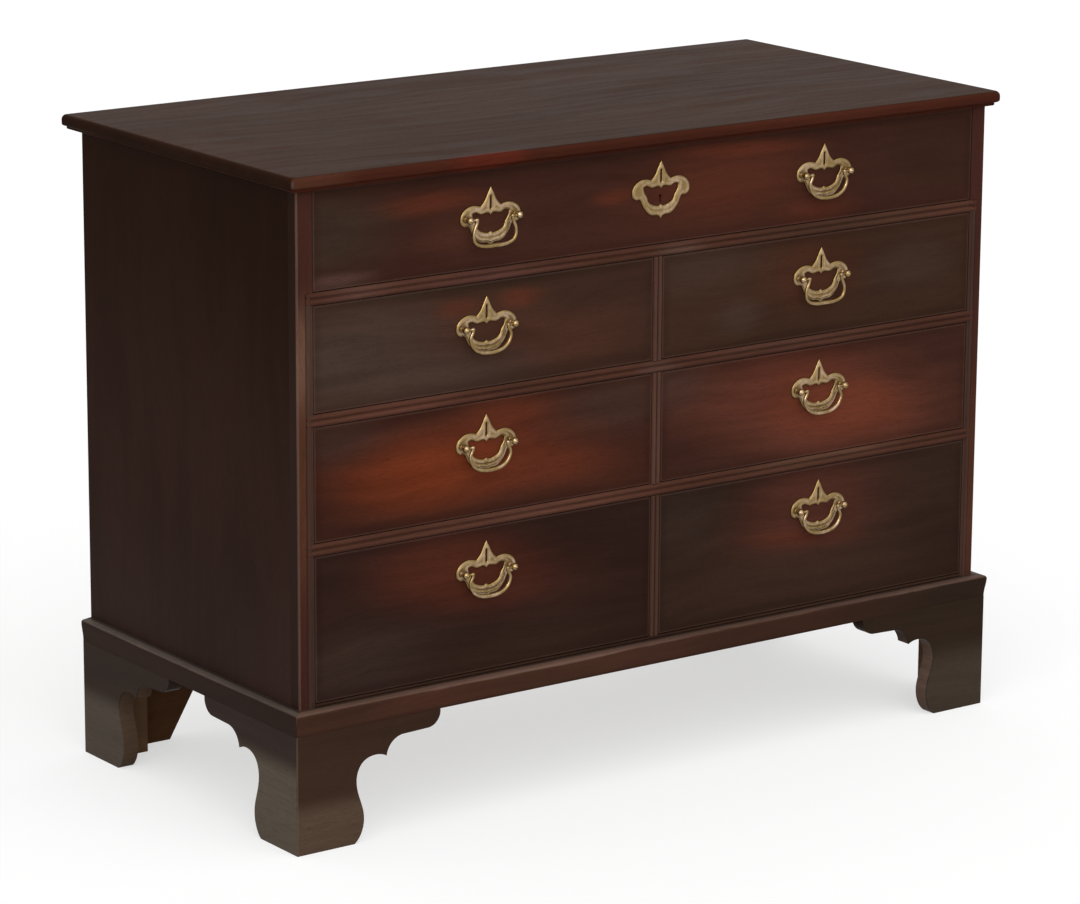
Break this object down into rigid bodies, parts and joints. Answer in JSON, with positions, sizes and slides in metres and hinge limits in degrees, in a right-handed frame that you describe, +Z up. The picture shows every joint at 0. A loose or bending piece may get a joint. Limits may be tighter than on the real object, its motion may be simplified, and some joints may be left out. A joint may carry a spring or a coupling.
{
  "type": "chest of drawers",
  "caption": "Georgian mahogany chest: a full-width drawer above rows of paired drawers, beaded rails, moulded top, plinth, ogee bracket feet and openwork brass swing handles.",
  "frame": {"origin": "on the floor under the middle of the chest's bounding box", "axes": "+X to the right of somebody facing the drawers, +Y from front to back, +Z up"},
  "size_m": [1.092, 0.526, 0.825],
  "materials": {
    "mahogany": "dark waxed mahogany",
    "pine": "raw, age-browned softwood",
    "oak": "raw, age-browned oak",
    "brass": "mellow old brass"
  },
  "bodies": {
    "carcase": {"top_board": "mahogany", "left_side": "mahogany", "right_side": "mahogany", "bottom_board": "pine", "back_boards": "pine", "front_stiles": "mahogany", "bottom_rail": "mahogany", "upper_rail": "mahogany", "middle_rail": "mahogany", "lower_rail": "mahogany", "upper_dustboard": "pine", "middle_dustboard": "pine", "lower_dustboard": "pine", "centre_posts": "mahogany", "top_frame": "pine", "plinth_front": "mahogany", "plinth_left": "mahogany", "plinth_right": "mahogany", "front_left_foot": "mahogany", "front_right_foot": "mahogany", "rear_left_foot": "mahogany", "rear_right_foot": "mahogany", "glue_blocks": "pine"},
    "top_drawer": {"top_drawer_front": "mahogany", "top_drawer_box": "oak", "top_drawer_bottom": "oak", "top_drawer_fittings": "brass", "top_drawer_lock": "brass"},
    "top_drawer_left_bail": {"top_drawer_left_bail": "brass"},
    "top_drawer_right_bail": {"top_drawer_right_bail": "brass"},
    "upper_left_drawer": {"upper_left_drawer_front": "mahogany", "upper_left_drawer_box": "oak", "upper_left_drawer_bottom": "oak", "upper_left_drawer_fittings": "brass"},
    "upper_left_drawer_bail": {"upper_left_drawer_bail": "brass"},
    "upper_right_drawer": {"upper_right_drawer_front": "mahogany", "upper_right_drawer_box": "oak", "upper_right_drawer_bottom": "oak", "upper_right_drawer_fittings": "brass"},
    "upper_right_drawer_bail": {"upper_right_drawer_bail": "brass"},
    "middle_left_drawer": {"middle_left_drawer_front": "mahogany", "middle_left_drawer_box": "oak", "middle_left_drawer_bottom": "oak", "middle_left_drawer_fittings": "brass"},
    "middle_left_drawer_bail": {"middle_left_drawer_bail": "brass"},
    "middle_right_drawer": {"middle_right_drawer_front": "mahogany", "middle_right_drawer_box": "oak", "middle_right_drawer_bottom": "oak", "middle_right_drawer_fittings": "brass"},
    "middle_right_drawer_bail": {"middle_right_drawer_bail": "brass"},
    "lower_left_drawer": {"lower_left_drawer_front": "mahogany", "lower_left_drawer_box": "oak", "lower_left_drawer_bottom": "oak", "lower_left_drawer_fittings": "brass"},
    "lower_left_drawer_bail": {"lower_left_drawer_bail": "brass"},
    "lower_right_drawer": {"lower_right_drawer_front": "mahogany", "lower_right_drawer_box": "oak", "lower_right_drawer_bottom": "oak", "lower_right_drawer_fittings": "brass"},
    "lower_right_drawer_bail": {"lower_right_drawer_bail": "brass"}
  },
  "joints": [
    {"name": "top_drawer_slide", "type": "slide", "parent": "carcase", "child": "top_drawer", "axis": [0, -1, 0], "range_m": [0, 0.33]},
    {"name": "top_drawer_left_bail_swing", "type": "hinge", "parent": "top_drawer", "child": "top_drawer_left_bail", "pos_m": [-0.254, -0.257, 0.7466], "axis": [-1, 0, 0], "range_deg": [-8.5, 160]},
    {"name": "top_drawer_right_bail_swing", "type": "hinge", "parent": "top_drawer", "child": "top_drawer_right_bail", "pos_m": [0.261, -0.257, 0.7466], "axis": [-1, 0, 0], "range_deg": [-8.5, 160]},
    {"name": "upper_left_drawer_slide", "type": "slide", "parent": "carcase", "child": "upper_left_drawer", "axis": [0, -1, 0], "range_m": [0, 0.33]},
    {"name": "upper_left_drawer_bail_swing", "type": "hinge", "parent": "upper_left_drawer", "child": "upper_left_drawer_bail", "pos_m": [-0.2595, -0.257, 0.6138], "axis": [-1, 0, 0], "range_deg": [-8.5, 160]},
    {"name": "upper_right_drawer_slide", "type": "slide", "parent": "carcase", "child": "upper_right_drawer", "axis": [0, -1, 0], "range_m": [0, 0.33]},
    {"name": "upper_right_drawer_bail_swing", "type": "hinge", "parent": "upper_right_drawer", "child": "upper_right_drawer_bail", "pos_m": [0.2595, -0.257, 0.6138], "axis": [-1, 0, 0], "range_deg": [-8.5, 160]},
    {"name": "middle_left_drawer_slide", "type": "slide", "parent": "carcase", "child": "middle_left_drawer", "axis": [0, -1, 0], "range_m": [0, 0.33]},
    {"name": "middle_left_drawer_bail_swing", "type": "hinge", "parent": "middle_left_drawer", "child": "middle_left_drawer_bail", "pos_m": [-0.2595, -0.257, 0.4681], "axis": [-1, 0, 0], "range_deg": [-8.5, 160]},
    {"name": "middle_right_drawer_slide", "type": "slide", "parent": "carcase", "child": "middle_right_drawer", "axis": [0, -1, 0], "range_m": [0, 0.33]},
    {"name": "middle_right_drawer_bail_swing", "type": "hinge", "parent": "middle_right_drawer", "child": "middle_right_drawer_bail", "pos_m": [0.2595, -0.257, 0.4681], "axis": [-1, 0, 0], "range_deg": [-8.5, 160]},
    {"name": "lower_left_drawer_slide", "type": "slide", "parent": "carcase", "child": "lower_left_drawer", "axis": [0, -1, 0], "range_m": [0, 0.33]},
    {"name": "lower_left_drawer_bail_swing", "type": "hinge", "parent": "lower_left_drawer", "child": "lower_left_drawer_bail", "pos_m": [-0.259, -0.257, 0.3098], "axis": [-1, 0, 0], "range_deg": [-8.5, 160]},
    {"name": "lower_right_drawer_slide", "type": "slide", "parent": "carcase", "child": "lower_right_drawer", "axis": [0, -1, 0], "range_m": [0, 0.33]},
    {"name": "lower_right_drawer_bail_swing", "type": "hinge", "parent": "lower_right_drawer", "child": "lower_right_drawer_bail", "pos_m": [0.2625, -0.257, 0.3098], "axis": [-1, 0, 0], "range_deg": [-8.5, 160]}
  ]
}
